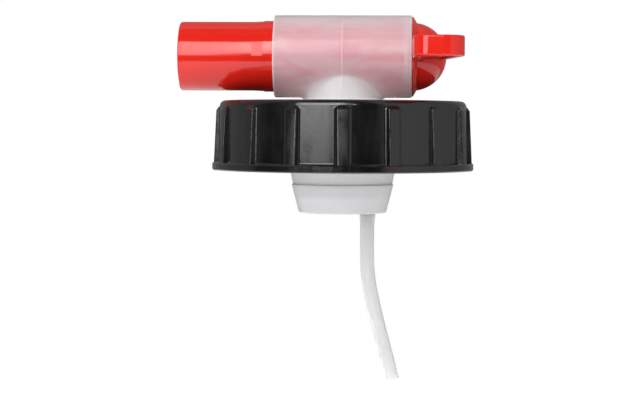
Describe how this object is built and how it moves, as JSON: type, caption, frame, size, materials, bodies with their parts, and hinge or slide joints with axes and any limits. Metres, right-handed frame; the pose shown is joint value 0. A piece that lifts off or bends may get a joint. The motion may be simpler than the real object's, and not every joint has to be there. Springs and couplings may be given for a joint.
{
  "type": "water container tap",
  "caption": "Screw-on tap for a water container: ribbed union cap, translucent barrel with a turning spout plug and lever, funnel inlet and air tube.",
  "frame": {"origin": "centre of the gasket's sealing face, on the cap's axis, where the container's rim sits", "axes": "+Z along the cap's axis out of the container, +X along the barrel towards the lever's dome, -X along the spout, the closed lever points to -Y"},
  "size_m": [0.0786, 0.0718, 0.0985],
  "materials": {
    "black_cap": "semi-gloss moulded polyethylene",
    "natural_body": "translucent natural polyethylene",
    "black_gasket": "matt rubber",
    "natural_tube": "translucent soft hose",
    "red_plug": "glossy moulded polyethylene"
  },
  "bodies": {
    "tap": {"tap_body": "natural_body", "neck_gasket": "black_gasket", "inlet_cup": "natural_body", "vent_tube": "natural_tube"},
    "cap": {"screw_cap": "black_cap"},
    "plug": {"spout_plug": "red_plug", "lever_cap": "red_plug"}
  },
  "joints": [
    {"name": "cap_turn", "type": "hinge", "parent": "tap", "child": "cap", "pos_m": [0, 0, 0], "axis": [0, 0, 1], "continuous": true},
    {"name": "lever_turn", "type": "hinge", "parent": "tap", "child": "plug", "pos_m": [0, 0, 0.01865], "axis": [-1, 0, 0], "range_deg": [0, 180]}
  ]
}
